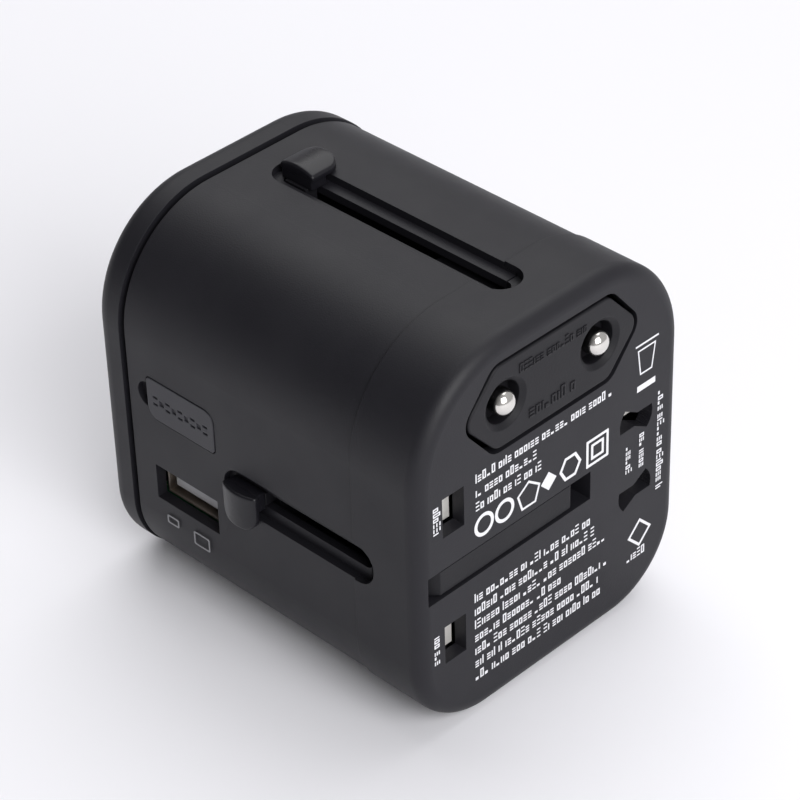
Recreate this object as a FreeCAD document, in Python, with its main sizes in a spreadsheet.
"""Universal travel adapter, lying on its long narrow side, in millimetres.

X runs across the plug face, Y from the plug face (negative) to the socket face
(positive), Z up. The origin is the middle of the underside. Every piece is drawn
with the plug face at Y = 0 and the case at Y > 0; the last step moves each piece
back, so that the middle of the whole length, round pin tips included, is at Y = 0.
"""
import FreeCAD, Part
import math
import os
import re

import Sketcher

from FreeCAD import Placement, Rotation, Vector

doc = FreeCAD.newDocument("travel_adapter")

# --------------------------------------------------------------- driving sizes
SIZES = {
    "width": 54.0,
    "height": 62.0,
    "length": 65.0,
    "top_radius": 18.0,
    "bottom_radius": 13.5,
    "front_round": 2.3,
    "back_round": 3.0,
    "wall": 2.0,
    "face_wall": 2.2,
    "shell_step": 0.25,
    "parting": 12.5,
    "parting_gap": 0.14,
    "groove_start": 58.6,
    "groove_end": 59.6,
    "lip": 2.0,
    "lip_thick": 0.9,
    "play": 0.2,
    "pin_line": 27.5,
    "slot_wide": 6.4,
    "slot_deep": 1.5,
    "slot_gap": 2.7,
    "slot_ledge": 1.3,
    "top_slot_mid": 0.6,
    "top_slot_front": 7.2,
    "top_slot_back": 54.0,
    "side_slot_front": 8.6,
    "side_slot_back": 39.0,
    "hex_mid": 51.1,
    "hex_half_long": 17.65,
    "hex_half_flat": 11.4,
    "hex_half_tall": 6.85,
    "hex_play": 0.6,
    "hex_soft": 2.4,
    "block_long": 24.0,
    "eu_spacing": 19.0,
    "eu_pin": 4.0,
    "eu_tip": -1.0,
    "eu_well": 3.3,
    "eu_well_deep": 2.8,
    "eu_carrier_front": 45.0,
    "eu_carrier_back": 52.0,
    "uk_column": -20.0,
    "uk_spacing": 22.23,
    "uk_pin_wide": 6.35,
    "uk_pin_thick": 3.97,
    "uk_tip": 2.5,
    "carrier_front": 23.0,
    "bridge_front": 31.0,
    "bridge_back": 37.0,
    "us_column": 17.6,
    "us_spacing": 12.7,
    "us_blade_wide": 6.3,
    "us_blade_thick": 1.5,
    "us_swing": 30.0,
    "us_tang": 2.0,
    "earth_pivot_x": 2.23,
    "earth_pivot_y": 4.3,
    "earth_pin_deep": 8.0,
    "earth_pin_wide": 4.0,
    "earth_pin_tip": -24.77,
    "earth_pin_heel": 4.4,
    "earth_slot_left": -25.1,
    "earth_slot_right": 7.9,
    "earth_slot_wide": 4.9,
    "earth_slot_deep": 9.4,
    "hinge_pin": 2.0,
    "usb_mid_y": 47.5,
    "usb_mid_z": 19.8,
    "usb_wide": 13.0,
    "usb_tall": 5.8,
    "usb_c_mid_z": 35.0,
    "usb_c_wide": 9.0,
    "usb_c_tall": 3.2,
    "cover_mid_y": 47.55,
    "cover_mid_z": 35.0,
    "cover_long": 14.0,
    "cover_tall": 6.9,
    "socket_line": -7.5,
    "socket_earth": 14.73,
    "fuse_x": 18.0,
    "fuse_z": 47.0,
    "screw": 2.2,
    "lid_play": 0.18,
    "lid_pitch": 1.32,
    "lid_mark_deep": 0.12,
    "uk_knob_back": 0.7,
    "uk_knob_lift": 0.6,
    "knob_near": -0.7,
    "knob_far": 5.4,
    "knob_half": 3.4,
    "knob_round": 2.4,
    "knob_tall": 1.8,
    "knob_curve": 8.0,
    "deck_low": 12.4,
    "deck_high": 42.6,
    "deck_thick": 1.1,
    "channel_left": -14.5,
    "channel_right": 11.9,
    "board_top": 4.8,
}

sheet = doc.addObject("Spreadsheet::Sheet", "Sizes")
for row, (alias, value) in enumerate(SIZES.items(), start=1):
    sheet.set("A%d" % row, alias)
    sheet.set("B%d" % row, str(value))
    sheet.setAlias("B%d" % row, alias)
doc.recompute()

ALIAS = re.compile(r"\b(%s)\b" % "|".join(sorted(SIZES, key=len, reverse=True)))


def bind(thing, prop, expression):
    """Ties a property to an expression whose words are the sheet's aliases."""
    thing.setExpression(prop, ALIAS.sub(r"Sizes.\1", str(expression)))


# ------------------------------------------------------------ building helpers
PARTS = []
COUNT = {}


def unique(name):
    """A fresh internal name for a helper solid."""
    COUNT[name] = COUNT.get(name, 0) + 1
    return "%s_%d" % (name, COUNT[name])


def part(label, solid):
    """Marks a solid as a sub-part under its own label."""
    solid.Label = label
    PARTS.append(solid)
    return solid


def seat(thing, x, y, z, rotation=Rotation()):
    thing.Placement = Placement(Vector(0, 0, 0), rotation)
    bind(thing, "Placement.Base.x", x)
    bind(thing, "Placement.Base.y", y)
    bind(thing, "Placement.Base.z", z)
    return thing


def box(x, y, z):
    """A box from three (low, high) pairs of expressions."""
    thing = doc.addObject("Part::Box", unique("box"))
    for prop, (low, high) in zip(("Length", "Width", "Height"), (x, y, z)):
        bind(thing, prop, "(%s) - (%s)" % (high, low))
    return seat(thing, x[0], y[0], z[0])


TURN = {
    "x": Rotation(Vector(0, 1, 0), 90),
    "y": Rotation(Vector(1, 0, 0), -90),
    "z": Rotation(),
}


def along(axis, span, across):
    """Base point of a round solid from its axis, its span and the two cross coordinates."""
    point = list(across)
    point.insert("xyz".index(axis), span[0])
    return point


def rod(axis, span, across, radius):
    """A cylinder along an axis; across holds its other two coordinates in X, Y, Z order."""
    thing = doc.addObject("Part::Cylinder", unique("rod"))
    bind(thing, "Radius", radius)
    bind(thing, "Height", "(%s) - (%s)" % (span[1], span[0]))
    return seat(thing, *along(axis, span, across), TURN[axis])


def cone(axis, span, across, radius_low, radius_high):
    thing = doc.addObject("Part::Cone", unique("cone"))
    bind(thing, "Radius1", radius_low)
    bind(thing, "Radius2", radius_high)
    bind(thing, "Height", "(%s) - (%s)" % (span[1], span[0]))
    return seat(thing, *along(axis, span, across), TURN[axis])


def fuse(*solids):
    thing = doc.addObject("Part::MultiFuse", unique("fuse"))
    thing.Shapes = list(solids)
    thing.Refine = True
    return thing


def group(*solids):
    """Separate solids kept in one piece list, such as a set of screws."""
    thing = doc.addObject("Part::Compound", unique("group"))
    thing.Links = list(solids)
    return thing


def cut(base, *tools):
    thing = doc.addObject("Part::Cut", unique("cut"))
    thing.Base = base
    thing.Tool = tools[0] if len(tools) == 1 else fuse(*tools)
    thing.Refine = True
    return thing


def common(first, second):
    thing = doc.addObject("Part::MultiCommon", unique("common"))
    thing.Shapes = [first, second]
    return thing


def mirrored(solid, height="pin_line"):
    """The same solid on the other side of a level plane."""
    thing = doc.addObject("Part::Mirroring", unique("mirror"))
    thing.Source = solid
    thing.Normal = Vector(0, 0, 1)
    bind(thing, "Base.z", height)
    return thing


def origin_plane(body, role):
    return next(f for f in body.Origin.OriginFeatures if f.Role == role)


def edge_names(shape, wanted):
    return ["Edge%d" % i for i, edge in enumerate(shape.Edges, start=1) if wanted(edge)]


def face_sketch(body, start, lift="0"):
    """A sketch across the object, seen from the plug face, at depth start."""
    sketch = body.newObject("Sketcher::SketchObject", unique("sketch"))
    sketch.AttachmentSupport = [(origin_plane(body, "XZ_Plane"), "")]
    sketch.MapMode = "FlatFace"
    bind(sketch, "AttachmentOffset.Base.y", lift)
    bind(sketch, "AttachmentOffset.Base.z", "0 - (%s)" % start)
    return sketch


def outline_pad(body, points, start, end):
    """Pads a closed straight outline, corners given as (X, Z) expressions, from start to end."""
    sketch = face_sketch(body, start)
    count = len(points)
    ring = [Vector(math.cos(math.tau * i / count), math.sin(math.tau * i / count), 0) for i in range(count)]
    for i in range(count):
        sketch.addGeometry(Part.LineSegment(ring[i], ring[(i + 1) % count]), False)
    for i in range(count):
        sketch.addConstraint(Sketcher.Constraint("Coincident", i, 2, (i + 1) % count, 1))
    for i, point in enumerate(points):
        for kind, expression in zip(("DistanceX", "DistanceY"), point):
            index = sketch.addConstraint(Sketcher.Constraint(kind, -1, 1, i, 1, 1.0 + i))
            bind(sketch, "Constraints[%d]" % index, expression)
    pad = body.newObject("PartDesign::Pad", unique("pad"))
    pad.Profile = sketch
    pad.Reversed = True
    bind(pad, "Length", "(%s) - (%s)" % (end, start))
    doc.recompute()
    return pad


def block(body, x, y, z):
    """A body's first feature: a box from three (low, high) pairs."""
    thing = body.newObject("PartDesign::AdditiveBox", unique("block"))
    for prop, (low, high) in zip(("Length", "Width", "Height"), (x, y, z)):
        bind(thing, prop, "(%s) - (%s)" % (high, low))
    seat(thing, x[0], y[0], z[0])
    doc.recompute()
    return thing


def dress(body, kind, base, size, wanted):
    """A Fillet or Chamfer of a body on the edges that wanted picks."""
    thing = body.newObject("PartDesign::%s" % kind, unique(kind.lower()))
    thing.Base = (base, edge_names(base.Shape, wanted))
    bind(thing, "Radius" if kind == "Fillet" else "Size", size)
    doc.recompute()
    return thing


def new_body():
    return doc.addObject("PartDesign::Body", unique("body"))


def runs_along_y(edge, level):
    bounds = edge.BoundBox
    return bounds.YLength > 0.1 and bounds.XLength + bounds.ZLength < 1e-6 and abs(bounds.ZMax - level) < 1e-6


def rounded_block(start, end, inset="0", front=None, back=None):
    """The case's rounded outline, inset all round, from one depth to another."""
    body = new_body()
    sides = ("0 - width / 2 + (%s)" % inset, "width / 2 - (%s)" % inset)
    solid = block(body, sides, (start, end), (inset, "height - (%s)" % inset))
    top = solid.Shape.BoundBox.ZMax
    bottom = solid.Shape.BoundBox.ZMin
    solid = dress(body, "Fillet", solid, "top_radius - (%s)" % inset, lambda e: runs_along_y(e, top))
    solid = dress(body, "Fillet", solid, "bottom_radius - (%s)" % inset, lambda e: runs_along_y(e, bottom))
    near = solid.Shape.BoundBox.YMin
    far = solid.Shape.BoundBox.YMax
    if front:
        solid = dress(body, "Fillet", solid, front, lambda e: e.BoundBox.YMax < near + 1e-6)
    if back:
        dress(body, "Fillet", solid, back, lambda e: e.BoundBox.YMin > far - 1e-6)
    return body


# ------------------------------------------------- slots and knobs in the walls
def wall_box(side, across, depth, span):
    """A box in a wall: across the slot, depth in from the case surface, span along Y."""
    if side == "top":
        x = tuple("top_slot_mid + (%s)" % a for a in across)
        return box(x, span, tuple("height - (%s)" % d for d in reversed(depth)))
    z = tuple("pin_line - (%s)" % a for a in reversed(across))
    if side == "left":
        return box(tuple("0 - width / 2 + (%s)" % d for d in depth), span, z)
    return box(tuple("width / 2 - (%s)" % d for d in reversed(depth)), span, z)


def wall_rod(side, across, depth, y, radius):
    """A round post standing square to a wall."""
    if side == "top":
        span = tuple("height - (%s)" % d for d in reversed(depth))
        return rod("z", span, ("top_slot_mid + (%s)" % across, y), radius)
    z = "pin_line - (%s)" % across
    if side == "left":
        return rod("x", tuple("0 - width / 2 + (%s)" % d for d in depth), (y, z), radius)
    return rod("x", tuple("width / 2 - (%s)" % d for d in reversed(depth)), (y, z), radius)


def wall_roll(side, across, depth, y, radius):
    """A cylinder that lies across a slot, its axis at a depth below the case surface."""
    if side == "top":
        span = tuple("top_slot_mid + (%s)" % a for a in across)
        return rod("x", span, (y, "height - (%s)" % depth), radius)
    span = tuple("pin_line - (%s)" % a for a in reversed(across))
    x = "0 - width / 2 + (%s)" % depth if side == "left" else "width / 2 - (%s)" % depth
    return rod("z", span, (x, y), radius)


def stadium(side, half, depth, front, back):
    """A slot with round ends between two depths of a wall."""
    ends = ("%s + %s" % (front, half), "%s - %s" % (back, half))
    straight = wall_box(side, ("0 - %s" % half, half), depth, ends)
    return fuse(straight, *[wall_rod(side, "0", depth, y, half) for y in ends])


SLOTS = {
    "top": ("top_slot_front", "top_slot_back"),
    "left": ("side_slot_front", "side_slot_back"),
    "right": ("side_slot_front", "side_slot_back"),
}


def slot_cuts(side):
    """The stepped slot: a wide shallow recess and a narrow gap through its floor."""
    front, back = SLOTS[side]
    recess = stadium(side, "slot_wide / 2", ("0 - 1", "slot_deep"), front, back)
    gap = stadium(side, "slot_gap / 2", ("0", "slot_deep + slot_ledge + 1"), front + " + 1.6", back + " - 1.6")
    return [recess, gap]


def slot_floor(side, start, end):
    """The thickened wall that carries the recess, clipped to one shell."""
    depth = ("wall - lip_thick", "slot_deep + slot_ledge")
    return wall_box(side, ("0 - slot_wide / 2 - 1", "slot_wide / 2 + 1"), depth, (start, end))


def knob(side, middle, lift="0"):
    """A thumb tab: straight on one side, round on the other, arched along the slot."""
    depth = ("0 - knob_tall - 1", "0 - play")
    near = "knob_near - (%s)" % lift
    far = "knob_far - (%s)" % lift
    inner = far + " - knob_round"
    ends = ("%s - knob_half + knob_round" % middle, "%s + knob_half - knob_round" % middle)
    plan = [wall_box(side, (near, inner), depth, ("%s - knob_half" % middle, "%s + knob_half" % middle)),
            wall_box(side, (inner, far), depth, ends)]
    plan += [wall_rod(side, inner, depth, y, "knob_round") for y in ends]
    arch = wall_roll(side, (near + " - 1", far + " + 1"), "knob_curve - knob_tall", middle, "knob_curve")
    skirt = wall_box(side, (near, "2.3"), ("0 - play", "slot_deep - play"),
                     ("%s - 2.9" % middle, "%s + 2.9" % middle))
    return fuse(common(fuse(*plan), arch), skirt)


def turned_box(x, z, span, half_wide, half_tall, angle):
    """A bar along Y, turned about its own middle line."""
    thing = doc.addObject("Part::Box", unique("bar"))
    bind(thing, "Length", "2 * (%s)" % half_wide)
    bind(thing, "Width", "(%s) - (%s)" % (span[1], span[0]))
    bind(thing, "Height", "2 * (%s)" % half_tall)
    turn = "cos(%s deg)" % angle, "sin(%s deg)" % angle
    corner_x = "%s - (%s) * %s - (%s) * %s" % (x, half_wide, turn[0], half_tall, turn[1])
    corner_z = "%s + (%s) * %s - (%s) * %s" % (z, half_wide, turn[1], half_tall, turn[0])
    return seat(thing, corner_x, span[0], corner_z, Rotation(Vector(0, 1, 0), angle))


def bow_tie(x, z, span, half_wide, half_tall):
    """The opening that a blade sweeps as it swings through its range."""
    steps = 5
    angles = [SIZES["us_swing"] * i / steps for i in range(steps + 1)]
    return fuse(*[turned_box(x, z, span, half_wide, half_tall, a) for a in angles])


# ---------------------------------------------------------------------- shells
THROUGH_FACE = ("0 - 1", "face_wall + 1")
UPPER_UK = "pin_line + uk_spacing / 2"
UPPER_US = "pin_line + us_spacing / 2"
BOSSES = [("22.3", "45.6"), ("0 - 22.3", "45.6"), ("19", "9.3"), ("0 - 19", "9.3")]


def hexagon(body, grow, start, end):
    """The long six-sided outline of the two-pin block."""
    long, flat, tall = ("hex_half_%s + (%s)" % (word, grow) for word in ("long", "flat", "tall"))
    top = "hex_mid + " + tall
    bottom = "hex_mid - (%s)" % tall
    points = [("0 - (%s)" % long, "hex_mid"), ("0 - (%s)" % flat, top), (flat, top),
              (long, "hex_mid"), (flat, bottom), ("0 - (%s)" % flat, bottom)]
    prism = outline_pad(body, points, start, end)
    return dress(body, "Fillet", prism, "hex_soft + (%s)" % grow, lambda e: e.BoundBox.YLength > 1)


def hex_opening():
    body = new_body()
    hexagon(body, "hex_play", "0 - 1", "face_wall + 1")
    return body


def make_front_shell():
    outer = rounded_block("0", "parting", front="front_round")
    hollow = rounded_block("face_wall", "parting + 1", "wall")
    rebate = rounded_block("parting - lip - play", "parting + 1", "wall - lip_thick - play / 2")
    pocket = box(("earth_slot_left - 1", "earth_slot_right + 1"), ("1", "earth_slot_deep + 1"),
                 ("pin_line - earth_slot_wide / 2 - 1", "pin_line + earth_slot_wide / 2 + 1"))
    floors = [slot_floor(side, "front_round + 2", "parting - lip - play") for side in SLOTS]
    posts = [rod("y", ("1", "13"), place, "2.2") for place in BOSSES]
    body = fuse(cut(outer, hollow, rebate), pocket, *floors, *posts)
    earth_slot = box(("earth_slot_left", "earth_slot_right"), ("0 - 1", "earth_slot_deep"),
                     ("pin_line - earth_slot_wide / 2", "pin_line + earth_slot_wide / 2"))
    hinge_bore = rod("z", ("pin_line - 3.3", "pin_line + 3.3"), ("earth_pivot_x", "earth_pivot_y"),
                     "hinge_pin / 2")
    uk_hole = box(("uk_column - uk_pin_thick / 2 - 0.12", "uk_column + uk_pin_thick / 2 + 0.12"), THROUGH_FACE,
                  (UPPER_UK + " - uk_pin_wide / 2 - 0.12", UPPER_UK + " + uk_pin_wide / 2 + 0.12"))
    us_hole = bow_tie("us_column", UPPER_US, THROUGH_FACE, "us_blade_wide / 2 + 0.25",
                      "us_blade_thick / 2 + 0.3")
    screw_bores = [rod("y", ("5", "14"), place, "screw / 2") for place in BOSSES]
    openings = [hex_opening(), earth_slot, hinge_bore, uk_hole, mirrored(uk_hole), us_hole, mirrored(us_hole)]
    slots = [tool for side in SLOTS for tool in slot_cuts(side)]
    part("front_shell", cut(body, *openings, *screw_bores, *slots))


def port_hole(side, middle_z, wide, tall):
    """A rectangular port opening through a side wall."""
    near = ("0 - width / 2 - 1", "0 - width / 2 + wall + 1")
    x = near if side == "left" else ("width / 2 - wall - 1", "width / 2 + 1")
    return box(x, ("usb_mid_y - (%s) / 2 - 0.1" % wide, "usb_mid_y + (%s) / 2 + 0.1" % wide),
               ("%s - (%s) / 2 - 0.1" % (middle_z, tall), "%s + (%s) / 2 + 0.1" % (middle_z, tall)))


def cover_span(grow, depth):
    """X, Y and Z limits of the spare fuse lid, grown all round, at a depth of the left wall."""
    return (tuple("0 - width / 2 + (%s)" % d for d in depth),
            ("cover_mid_y - cover_long / 2 - (%s)" % grow, "cover_mid_y + cover_long / 2 + (%s)" % grow),
            ("cover_mid_z - cover_tall / 2 - (%s)" % grow, "cover_mid_z + cover_tall / 2 + (%s)" % grow))


def lid_plate(grow, depth):
    """The spare fuse lid: two wide round corners and two tight ones, in turn."""
    body = new_body()
    solid = block(body, *cover_span(grow, depth))
    bounds = solid.Shape.BoundBox

    def corner(edge, front, top):
        at = edge.BoundBox
        level = bounds.ZMax if top else bounds.ZMin
        end = bounds.YMin if front else bounds.YMax
        return at.XLength > 0.5 and abs(at.ZMax - level) < 1e-6 and abs(at.YMax - end) < 1e-6

    solid = dress(body, "Fillet", solid, "1.9 + (%s)" % grow,
                  lambda e: corner(e, True, True) or corner(e, False, False))
    dress(body, "Fillet", solid, "0.7 + (%s)" % grow,
          lambda e: corner(e, True, False) or corner(e, False, True))
    return body


def make_middle_shell():
    outer = rounded_block("parting + parting_gap", "groove_start", "shell_step")
    tongue = rounded_block("parting - lip", "parting + 1", "wall - lip_thick")
    hollow = rounded_block("parting - lip - 1", "groove_start + 1", "wall")
    floors = [slot_floor(side, "parting - lip", SLOTS[side][1] + " + 1") for side in SLOTS]
    tray = box(*cover_span("1", ("1", "8.4")))
    body = fuse(cut(fuse(outer, tongue), hollow), *floors, tray)
    rebate = lid_plate("lid_play", ("0 - 1", "shell_step + 1.3"))
    well = box(*cover_span("0 - 0.8", ("0", "7.4")))
    thumb = rod("x", ("0 - width / 2 - 1", "0 - width / 2 + 1.3"),
                ("cover_mid_y + cover_long / 2", "cover_mid_z + 0.2"), "2.1")
    ports = [port_hole("left", "usb_mid_z", "usb_wide + 0.1", "usb_tall"),
             port_hole("right", "usb_mid_z", "usb_wide + 0.1", "usb_tall"),
             port_hole("right", "usb_c_mid_z", "usb_c_wide", "usb_c_tall")]
    slots = [tool for side in SLOTS for tool in slot_cuts(side)]
    part("middle_shell", cut(body, rebate, well, thumb, *ports, *slots))


def pole_opening(span):
    """One pole's opening in the universal socket: flat, round, slanted and rectangular pins."""
    rectangle = box(("socket_line - 2.35", "socket_line + 2.35"), span,
                    (UPPER_UK + " - 3.45", UPPER_UK + " + 3.45"))
    round_hole = rod("y", span, ("socket_line", "pin_line + eu_spacing / 2"), "2.5")
    flat = bow_tie("socket_line", "pin_line + 6.6", span, "3.45", "1.05")
    return fuse(rectangle, round_hole, flat)


def make_socket_cover():
    outer = rounded_block("groove_end", "length", back="back_round")
    lip = rounded_block("groove_start - lip", "groove_end + 1", "wall + play / 2")
    hollow = rounded_block("groove_start - lip - 1", "length - face_wall", "wall + lip_thick")
    spring_post = rod("y", ("60.8", "length - 1"), ("7.4", "22"), "0.8")
    body = fuse(cut(fuse(outer, lip), hollow), spring_post)
    span = ("length - face_wall - 1", "length + 1")
    pole = pole_opening(span)
    pan = box(("0 - 14", "21.5"), ("length - 0.7", "length + 1"), ("10.5", "44.5"))
    pan_edge = cut(pan, box(("0 - 13.4", "20.9"), ("length - 1", "length + 2"), ("11.1", "43.9")))
    uk_earth = box(("socket_earth - 4.45", "socket_earth + 4.45"), span, ("pin_line - 2.45", "pin_line + 2.45"))
    us_earth = rod("y", span, ("socket_line + 11.9", "pin_line"), "2.6")
    cap_seat = rod("y", ("length - 1.6", "length + 1"), ("fuse_x", "fuse_z"), "4.3")
    cap_bore = rod("y", ("length - face_wall - 1", "length"), ("fuse_x", "fuse_z"), "2.95")
    part("socket_cover", cut(body, pan_edge, pole, mirrored(pole), uk_earth, us_earth, cap_seat, cap_bore))


# ------------------------------------------------------ frame, hinge pin, screws
def make_inner_frame():
    low_deck = box(("0 - 22", "22"), ("13.2", "39.5"), ("deck_low - deck_thick", "deck_low"))
    high_deck = box(("0 - 22", "22"), ("13.2", "39.5"), ("deck_high", "deck_high + deck_thick"))
    high_tail = box(("0 - 13.5", "13.5"), ("39", "56.4"), ("deck_high", "deck_high + deck_thick"))
    left_rail = box(("channel_left", "channel_left + 1"), ("13.2", "39.5"), ("deck_low - 1", "deck_high + 1"))
    right_rail = box(("channel_right - 1", "channel_right"), ("13.2", "39.5"),
                     ("deck_low - 1", "deck_high + 1"))
    ears = []
    for x, z in BOSSES:
        high = float(z) > 20
        level = ("deck_high", "47.6") if high else ("7.2", "deck_low")
        ears.append(box((x + " - 1.9", x + " + 1.9"), ("13.2", "15"), level))
    bores = [rod("y", ("13", "15.5"), place, "screw / 2") for place in BOSSES]
    part("inner_frame", cut(fuse(low_deck, high_deck, high_tail, left_rail, right_rail, *ears), *bores))


def make_frame_screws():
    screws = []
    for place in BOSSES:
        shank = rod("y", ("6", "15.2"), place, "screw / 2")
        head = rod("y", ("15", "16.4"), place, "1.65")
        recess = rod("y", ("15.7", "17"), place, "0.7")
        screws.append(cut(fuse(shank, head), recess))
    part("frame_screws", group(*screws))


def make_hinge_pin():
    part("earth_hinge_pin", rod("z", ("pin_line - 3.3", "pin_line + 3.3"),
                                ("earth_pivot_x", "earth_pivot_y"), "hinge_pin / 2"))


# ------------------------------------------------------------- two-pin plug (EU)
def eu_places():
    return [("%s eu_spacing / 2" % sign, "hex_mid") for sign in ("0 -", "0 +")]


def make_eu_block():
    body = new_body()
    prism = hexagon(body, "0", "0", "block_long")
    dress(body, "Fillet", prism, "0.3", lambda e: e.BoundBox.YMax < 1e-6)
    flange = box(("0 - 19.8", "19.8"), ("block_long - 4", "block_long"), ("hex_mid - 4", "hex_mid + 3.6"))
    bores = [rod("y", ("0 - 1", "block_long + 1"), place, "eu_pin / 2 + 0.07") for place in eu_places()]
    wells = [rod("y", ("0 - 1", "eu_well_deep"), place, "eu_well") for place in eu_places()]
    funnels = [cone("y", ("0 - 0.2", "0.6"), place, "eu_well + 1.1", "eu_well") for place in eu_places()]
    part("eu_block", cut(fuse(body, flange), *bores, *wells, *funnels))


def round_pin(span, place, radius):
    """A round pin along Y with a domed tip."""
    body = new_body()
    shank = body.newObject("PartDesign::AdditiveCylinder", unique("shank"))
    bind(shank, "Radius", radius)
    bind(shank, "Height", "(%s) - (%s)" % (span[1], span[0]))
    seat(shank, place[0], span[0], place[1], TURN["y"])
    doc.recompute()
    near = shank.Shape.BoundBox.YMin
    dress(body, "Fillet", shank, radius + " - 0.2", lambda e: e.BoundBox.YMax < near + 1e-6)
    return body


def make_eu_pins():
    bare = "eu_tip + 9"
    pins = []
    sleeves = []
    for x, z in eu_places():
        shank = round_pin(("eu_tip", bare), (x, z), "eu_pin / 2")
        core = rod("y", (bare + " - 0.5", "eu_carrier_front + 5"), (x, z), "eu_pin / 2 - 0.5")
        pins.append(fuse(shank, core))
        jacket = rod("y", (bare, "eu_carrier_front"), (x, z), "eu_pin / 2 - 0.03")
        core_bore = rod("y", (bare + " - 1", "eu_carrier_front + 1"), (x, z), "eu_pin / 2 - 0.5")
        sleeves.append(cut(jacket, core_bore))
    part("eu_pins", group(*pins))
    part("eu_pin_sleeves", group(*sleeves))
    carrier = box(("0 - 13.2", "13.2"), ("eu_carrier_front", "eu_carrier_back"),
                  ("hex_mid - 4.2", "hex_mid + 4.2"))
    stem = wall_box("top", ("0 - 1.1", "1.1"), ("slot_deep - play", "height - hex_mid - 3"),
                    ("eu_carrier_front + 2.3", "eu_carrier_back - 0.4"))
    sockets = [rod("y", ("eu_carrier_front - 1", "eu_carrier_front + 5"), place, "eu_pin / 2 - 0.5")
               for place in eu_places()]
    part("eu_carrier", cut(fuse(carrier, stem), *sockets))
    part("eu_knob", knob("top", "(eu_carrier_front + 4.6)"))


# ----------------------------------------------------------- three-pin plug (UK)
def make_uk_slider():
    half_wide = "uk_pin_wide / 2"
    half_thick = "uk_pin_thick / 2"
    bare = "uk_tip + 8.7"
    pin_body = new_body()
    solid = block(pin_body, ("uk_column - " + half_thick, "uk_column + " + half_thick), ("uk_tip", bare),
                  (UPPER_UK + " - " + half_wide, UPPER_UK + " + " + half_wide))
    near = solid.Shape.BoundBox.YMin
    dress(pin_body, "Chamfer", solid, "0.25", lambda e: e.BoundBox.YMax < near + 1e-6)
    core_x = ("uk_column - %s + 0.5" % half_thick, "uk_column + %s - 0.5" % half_thick)
    core_z = (UPPER_UK + " - %s + 0.5" % half_wide, UPPER_UK + " + %s - 0.5" % half_wide)
    pin = fuse(pin_body, box(core_x, (bare + " - 0.5", "carrier_front + 6"), core_z))
    jacket = box(("uk_column - %s + 0.03" % half_thick, "uk_column + %s - 0.03" % half_thick),
                 (bare, "carrier_front"),
                 (UPPER_UK + " - %s + 0.03" % half_wide, UPPER_UK + " + %s - 0.03" % half_wide))
    sleeve = cut(jacket, box(core_x, (bare + " - 1", "carrier_front + 1"), core_z))
    tower = box(("uk_column - 3.4", "uk_column + 3.4"), ("carrier_front", "bridge_back"),
                (UPPER_UK + " - 3.5", UPPER_UK + " + 3.5"))
    bridge = box(("uk_column - 3.4", "uk_column + 4.4"), ("bridge_front", "bridge_back"),
                 ("pin_line - uk_spacing / 2 - 3.5", UPPER_UK + " + 3.5"))
    stem = wall_box("left", ("0 - 1.1", "1.1"), ("slot_deep - play", "width / 2 + uk_column"),
                    ("bridge_front + 0.5", "bridge_back - 0.5"))
    bore = box(core_x, ("carrier_front - 1", "carrier_front + 6"), core_z)
    part("uk_pins", group(pin, mirrored(pin)))
    part("uk_pin_sleeves", group(sleeve, mirrored(sleeve)))
    part("uk_carrier", cut(fuse(tower, mirrored(tower), bridge, stem), bore, mirrored(bore)))
    part("uk_knob", knob("left", "(bridge_front / 2 + bridge_back / 2 + uk_knob_back)", "uk_knob_lift"))


def make_earth_pin():
    body = new_body()
    z = ("pin_line - earth_pin_wide / 2", "pin_line + earth_pin_wide / 2")
    y = ("earth_pivot_y - earth_pin_deep / 2", "earth_pivot_y + earth_pin_deep / 2")
    solid = block(body, ("earth_pin_tip", "earth_pin_heel"), y, z)
    bounds = solid.Shape.BoundBox
    solid = dress(body, "Chamfer", solid, "2.3",
                  lambda e: e.BoundBox.XMax < bounds.XMin + 1e-6 and e.BoundBox.YMax < bounds.YMin + 1e-6)
    dress(body, "Fillet", solid, "0.6",
          lambda e: e.BoundBox.XMin > bounds.XMax - 1e-6 and e.BoundBox.YLength < 1e-6)
    bore = rod("z", ("pin_line - 5", "pin_line + 5"), ("earth_pivot_x", "earth_pivot_y"),
               "hinge_pin / 2 + 0.05")
    part("uk_earth_pin", cut(body, bore))


# --------------------------------------------------- swinging blades (US and AUS)
def make_us_slider():
    blade_body = new_body()
    x = ("us_column - us_blade_wide / 2", "us_column + us_blade_wide / 2")
    z = (UPPER_US + " - us_blade_thick / 2", UPPER_US + " + us_blade_thick / 2")
    solid = block(blade_body, x, ("2.3", "carrier_front - 0.1"), z)
    near = solid.Shape.BoundBox.YMin
    dress(blade_body, "Chamfer", solid, "0.2", lambda e: e.BoundBox.YMax < near + 1e-6)
    tang = rod("y", ("carrier_front - 0.4", "carrier_front + 7"), ("us_column", UPPER_US), "us_tang")
    blade = fuse(blade_body, tang)
    part("us_blade_upper", blade)
    part("us_blade_lower", mirrored(blade))
    tower = box(("us_column - 3.7", "us_column + 3.7"), ("carrier_front", "bridge_back"),
                (UPPER_US + " - 3.6", UPPER_US + " + 3.6"))
    bridge = box(("channel_right + 0.8", "us_column + 5.8"), ("bridge_front", "bridge_back"),
                 ("pin_line - 10", "pin_line + 10"))
    stem = wall_box("right", ("0 - 1.1", "1.1"), ("slot_deep - play", "width / 2 - us_column"),
                    ("bridge_front + 0.5", "bridge_back - 0.5"))
    bore = rod("y", ("carrier_front - 1", "carrier_front + 7.1"), ("us_column", UPPER_US), "us_tang + 0.05")
    part("us_carrier", cut(fuse(tower, mirrored(tower), bridge, stem), bore, mirrored(bore)))
    part("us_knob", knob("right", "(bridge_front / 2 + bridge_back / 2)"))


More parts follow.
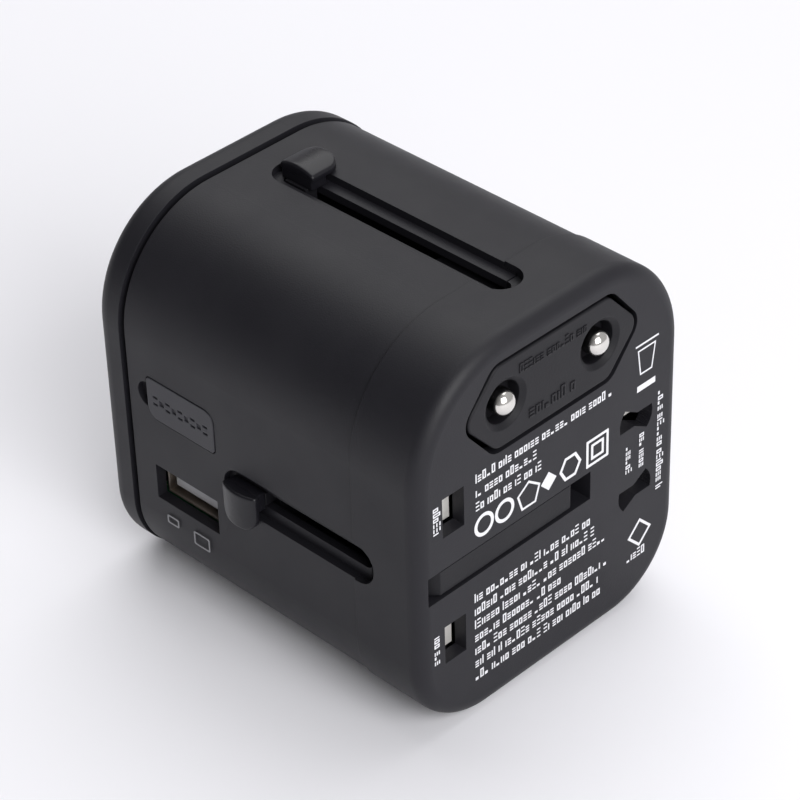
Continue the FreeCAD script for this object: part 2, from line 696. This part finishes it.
# ---------------------------------------------------------------- socket and fuses
def make_socket():
    column = box(("socket_line - 4.8", "socket_line + 4.9"), ("47.6", "60.8"), ("12.5", "42.5"))
    bar = box(("socket_line + 4.5", "socket_earth + 4.9"), ("47.6", "60.8"),
              ("pin_line - 3.9", "pin_line + 3.9"))
    cavity = box(("socket_line - 3.9", "socket_line + 3.9"), ("49", "62"), ("32", "41.9"))
    earth_cavity = box(("socket_earth - 4.5", "socket_earth + 4.4"), ("49", "62"),
                       ("pin_line - 2.9", "pin_line + 2.9"))
    round_cavity = rod("y", ("49", "62"), ("socket_line + 11.9", "pin_line"), "2.8")
    tail_slit = box(("socket_line - 0.4", "socket_line + 0.4"), ("47", "50"), ("36", "40"))
    poles = [cavity, mirrored(cavity), tail_slit, mirrored(tail_slit)]
    part("socket_body", cut(fuse(column, bar), *poles, earth_cavity, round_cavity))

    base = box(("socket_line - 3.6", "socket_line + 3.6"), ("49", "49.5"), ("32.3", "41.6"))
    leaves = [box(("socket_line + %s" % low, "socket_line + %s" % high), ("49", "59.5"), ("32.3", "41.6"))
              for low, high in (("0 - 3.6", "0 - 3.1"), ("3.1", "3.6"))]
    lips = [rod("z", ("32.3", "41.6"), ("socket_line + %s" % offset, "57.5"), "0.55")
            for offset in ("0 - 3", "3")]
    tail = box(("socket_line - 0.3", "socket_line + 0.3"), ("46.4", "49.3"), ("36.2", "39.8"))
    contact = fuse(base, *leaves, *lips, tail)
    part("live_contact", contact)
    part("neutral_contact", mirrored(contact))
    busbar = box(("socket_line - 0.3", "socket_line + 0.3"), ("16", "46.4"), ("35.5", "41"))
    part("live_busbar", busbar)
    part("neutral_busbar", mirrored(busbar))


def make_shutter():
    plate = box(("socket_line - 4.1", "socket_line + 4.1"), ("61.2", "62.4"), ("12.9", "42.1"))
    grip = box(("socket_line + 3.5", "socket_line + 4.7"), ("61.2", "62.4"), ("20.6", "23.4"))
    part("socket_shutter", fuse(plate, grip))
    make_shutter_spring()


def make_shutter_spring():
    """The coil spring between the shutter's grip and its post."""
    wire_radius = 0.16
    coil_radius = 0.65
    pitch = 0.8
    gap = 0.1
    start = SIZES["socket_line"] + 4.7 + wire_radius + gap
    end = 6.6 - wire_radius - gap
    helix = Part.makeHelix(pitch, end - start, coil_radius)
    ring = Part.Circle(Vector(coil_radius, 0, 0), Vector(0, 1, 0), wire_radius)
    coil = Part.Wire(helix).makePipeShell([Part.Wire(ring.toShape())], True, True)
    coil.rotate(Vector(0, 0, 0), Vector(0, 1, 0), 90)
    coil.translate(Vector(start, 61.8, 22))
    spring = doc.addObject("Part::Feature", "spring")
    spring.Shape = coil
    part("shutter_spring", spring)


def cartridge(axis, span, across, radius, name):
    """A cartridge fuse: a ceramic tube with a metal cap over each end."""
    low, high = span
    tube = rod(axis, (low + " + 0.3", high + " - 0.3"), across, "%s - 0.15" % radius)
    caps = []
    for cap_span in ((low, low + " + 2.4"), (high + " - 2.4", high)):
        caps.append(cut(rod(axis, cap_span, across, radius),
                        rod(axis, (low + " + 0.3", high + " - 0.3"), across, "%s - 0.15" % radius)))
    part(name + "_fuse_tube", tube)
    part(name + "_fuse_caps", group(*caps))


def make_fuses():
    place = ("fuse_x", "fuse_z")
    holder = cut(rod("y", ("41.4", "62.7"), place, "3.4"), rod("y", ("42.2", "63"), place, "2.8"))
    part("fuse_holder", holder)
    cartridge("y", ("42.3", "62.1"), place, "2.6", "mains")
    head = rod("y", ("length - 1.4", "length"), place, "4.15")
    neck = rod("y", ("62.2", "length - 1"), place, "2.7")
    coin_slot = box(("fuse_x - 3", "fuse_x + 3"), ("length - 0.9", "length + 1"),
                    ("fuse_z - 0.55", "fuse_z + 0.55"))
    part("fuse_cap", cut(fuse(head, neck), coin_slot))
    spare = ("0 - width / 2 + 4.2", "cover_mid_z")
    cartridge("y", ("cover_mid_y - 5", "cover_mid_y + 5"), spare, "1.8", "spare")


def lid_marks():
    """Shallow engraved marks in a row on the lid: square dots and paired dashes in turn."""
    depth = ("0 - width / 2 - 1", "0 - width / 2 + shell_step + lid_mark_deep")
    dot = [("0.45", ("0 - 0.55", "0.35"))]
    dashes = [("0.5", ("0 - 0.9", "0 - 0.5")), ("0.5", ("0.3", "0.7"))]
    marks = []
    for place in range(-4, 5):
        middle = "cover_mid_y + lid_pitch * (%d)" % place
        for half, (low, high) in dot if place % 2 else dashes:
            y = ("%s - %s" % (middle, half), "%s + %s" % (middle, half))
            marks.append(box(depth, y, ("cover_mid_z + " + low, "cover_mid_z + " + high)))
    return marks


def make_spare_fuse_cover():
    plate = lid_plate("0", ("shell_step - 0.1", "shell_step + 1.2"))
    clips = []
    for offset in ("0 - 4.6", "4"):
        arm_y = ("cover_mid_y + " + offset, "cover_mid_y + %s + 0.6" % offset)
        arm = box(("0 - width / 2 + shell_step + 1", "0 - width / 2 + 5.2"), arm_y,
                  ("cover_mid_z - 2.5", "cover_mid_z + 2.5"))
        nest = rod("y", ("cover_mid_y - 7", "cover_mid_y + 7"), ("0 - width / 2 + 4.2", "cover_mid_z"), "1.8")
        mouth = box(("0 - width / 2 + 4.2", "0 - width / 2 + 7"), ("cover_mid_y - 7", "cover_mid_y + 7"),
                    ("cover_mid_z - 1.6", "cover_mid_z + 1.6"))
        clips.append(cut(arm, nest, mouth))
    part("spare_fuse_cover", cut(fuse(plate, *clips), *lid_marks()))


# ------------------------------------------------------------------- electronics
def make_usb_a(side):
    """A USB-A socket: folded metal shell, tongue and four contacts."""
    out = "0 - width / 2" if side == "left" else "width / 2"
    sign = "+" if side == "left" else "-"

    def depth(low, high):
        pair = ("%s %s (%s)" % (out, sign, low), "%s %s (%s)" % (out, sign, high))
        return pair if side == "left" else pair[::-1]

    y = ("usb_mid_y - usb_wide / 2", "usb_mid_y + usb_wide / 2")
    z = ("usb_mid_z - usb_tall / 2", "usb_mid_z + usb_tall / 2")
    can = box(depth("wall + 0.2", "14.2"), y, z)
    mouth = box(depth("0", "13.9"), tuple(v + w for v, w in zip(y, (" + 0.3", " - 0.3"))),
                tuple(v + w for v, w in zip(z, (" + 0.3", " - 0.3"))))
    part("usb_a_shell_" + side, cut(can, mouth))
    tongue = box(depth("3.1", "13.8"), ("usb_mid_y - 5.6", "usb_mid_y + 5.6"), ("usb_mid_z - 1.8", "usb_mid_z"))
    part("usb_a_tongue_" + side, tongue)
    contacts = []
    for offset in ("0 - 3.5", "0 - 1", "1", "3.5"):
        strip_y = ("usb_mid_y + %s - 0.5" % offset, "usb_mid_y + %s + 0.5" % offset)
        contacts.append(box(depth("3.9", "12.5"), strip_y, ("usb_mid_z", "usb_mid_z + 0.2")))
    part("usb_a_contacts_" + side, group(*contacts))


def make_usb_c():
    y = ("usb_mid_y - usb_c_wide / 2", "usb_mid_y + usb_c_wide / 2")
    z = ("usb_c_mid_z - usb_c_tall / 2", "usb_c_mid_z + usb_c_tall / 2")

    def tube(grow, x):
        body = new_body()
        solid = block(body, x, tuple("%s %s" % (v, w) for v, w in zip(y, ("+ " + grow, "- " + grow))),
                      tuple("%s %s" % (v, w) for v, w in zip(z, ("+ " + grow, "- " + grow))))
        dress(body, "Fillet", solid, "usb_c_tall / 2 - 0.05 - " + grow, lambda e: e.BoundBox.XLength > 1)
        return body

    part("usb_c_shell", cut(tube("0", ("width / 2 - 7.6", "width / 2 - 0.6")),
                            tube("0.3", ("width / 2 - 7.2", "width / 2"))))
    part("usb_c_tongue", box(("width / 2 - 7.2", "width / 2 - 1.6"), ("usb_mid_y - 3.3", "usb_mid_y + 3.3"),
                             ("usb_c_mid_z - 0.35", "usb_c_mid_z + 0.35")))


def make_boards():
    part("power_board", box(("0 - 16", "16"), ("14", "56"), ("board_top - 1.6", "board_top")))
    usb_z = ("usb_mid_z - usb_tall / 2 - 1.6", "usb_mid_z - usb_tall / 2")
    left = box(("0 - 24", "0 - 13"), ("40.5", "56"), usb_z)
    right = box(("13", "24"), ("40.5", "56"), usb_z)
    type_c = box(("width / 2 - 10", "width / 2 - 3"), ("41", "54"),
                 ("usb_c_mid_z - usb_c_tall / 2 - 1", "usb_c_mid_z - usb_c_tall / 2"))
    part("usb_boards", group(left, right, type_c))


def make_power_parts():
    core_z = ("board_top + 1.3", "9.8")
    legs = [box(x, ("24", "38"), core_z) for x in (("0 - 8", "0 - 5.6"), ("0 - 1.8", "1.8"), ("5.6", "8"))]
    yokes = [box(("0 - 8", "8"), y, core_z) for y in (("24", "26.2"), ("35.8", "38"))]
    part("transformer_core", fuse(*legs, *yokes))
    winding = box(("0 - 5.3", "5.3"), ("26.3", "35.7"), ("board_top", "11"))
    part("transformer_winding", cut(winding, box(("0 - 1.8", "1.8"), ("26", "36"), core_z)))
    part("mains_capacitor", rod("y", ("41", "54"), ("0 - 10", "board_top + 3.1"), "3.1"))
    part("output_capacitors", group(*[rod("z", ("board_top", "10.6"), place, "2.5")
                                      for place in (("9", "43"), ("9", "50"))]))
    ring = cut(rod("z", ("board_top", "9"), ("0", "18.5"), "3.2"), rod("z", ("4", "10"), ("0", "18.5"), "1.4"))
    part("inductor", ring)
    part("rectifier", box(("0 - 12", "0 - 7"), ("16", "21"), ("board_top", "board_top + 2.4")))
    part("control_chips", group(box(("7", "12"), ("16", "20"), ("board_top", "board_top + 1.4")),
                                box(("0 - 2", "2.5"), ("46", "50"), ("board_top", "board_top + 1.4"))))


# ------------------------------------------------------------------------- build
make_front_shell()
make_middle_shell()
make_socket_cover()
make_inner_frame()
make_frame_screws()
make_hinge_pin()
make_eu_block()
make_eu_pins()
make_uk_slider()
make_earth_pin()
make_us_slider()
make_socket()
make_shutter()
make_fuses()
make_spare_fuse_cover()
for port_side in ("left", "right"):
    make_usb_a(port_side)
make_usb_c()
make_boards()
make_power_parts()

doc.recompute()
for solid in PARTS:
    if getattr(solid, "Source", None) in PARTS:
        continue
    drawn_at = dict(solid.ExpressionEngine).get("Placement.Base.y", str(solid.Placement.Base.y))
    solid.setExpression("Placement.Base.y", "(%s) - (Sizes.length + Sizes.eu_tip) / 2" % drawn_at)
doc.recompute()

for thing in doc.Objects:
    if "Invalid" in thing.State or "Error" in thing.State:
        raise RuntimeError("%s failed: %s" % (thing.Label, thing.State))
os.makedirs("parts", exist_ok=True)
for solid in PARTS:
    if solid.Shape.isNull() or not solid.Shape.isValid() or not solid.Shape.Solids:
        raise RuntimeError("%s has no valid solid" % solid.Label)
    solid.Shape.exportStep("parts/%s.step" % solid.Label)
    print("%-22s %d solids %10.2f mm3" % (solid.Label, len(solid.Shape.Solids), solid.Shape.Volume))
